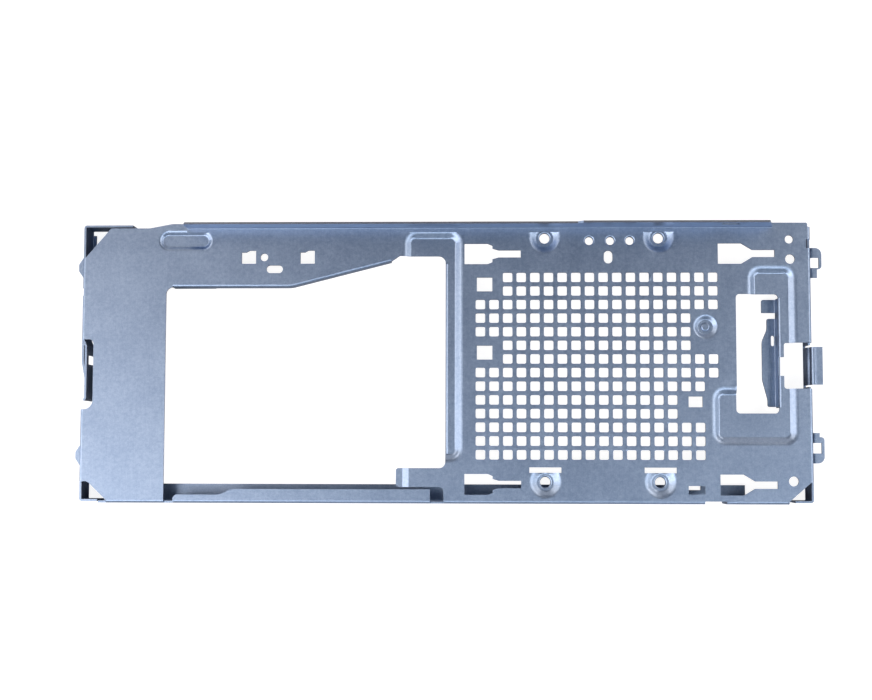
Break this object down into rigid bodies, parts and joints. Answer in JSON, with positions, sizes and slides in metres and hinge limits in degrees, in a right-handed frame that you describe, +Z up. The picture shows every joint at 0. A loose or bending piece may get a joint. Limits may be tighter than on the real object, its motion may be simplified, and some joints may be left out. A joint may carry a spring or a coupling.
{
  "type": "hard drive expansion module",
  "caption": "Folded sheet-steel tray that carries a 3.5-inch drive: perforated plate, large window, keyholes, folded rims and a sprung latch tab.",
  "frame": {"origin": "centre of the four drive screw holes, on the upper faces of their pads", "axes": "+X along the length to the latch end, +Y to the standing wall, +Z up, away from the folded rims"},
  "size_m": [0.2917, 0.1094, 0.0245],
  "materials": {
    "zinc_plated_steel": "zinc-plated, satin, faintly bluish"
  },
  "bodies": {
    "root": {"drive_module": "zinc_plated_steel"}
  },
  "joints": []
}
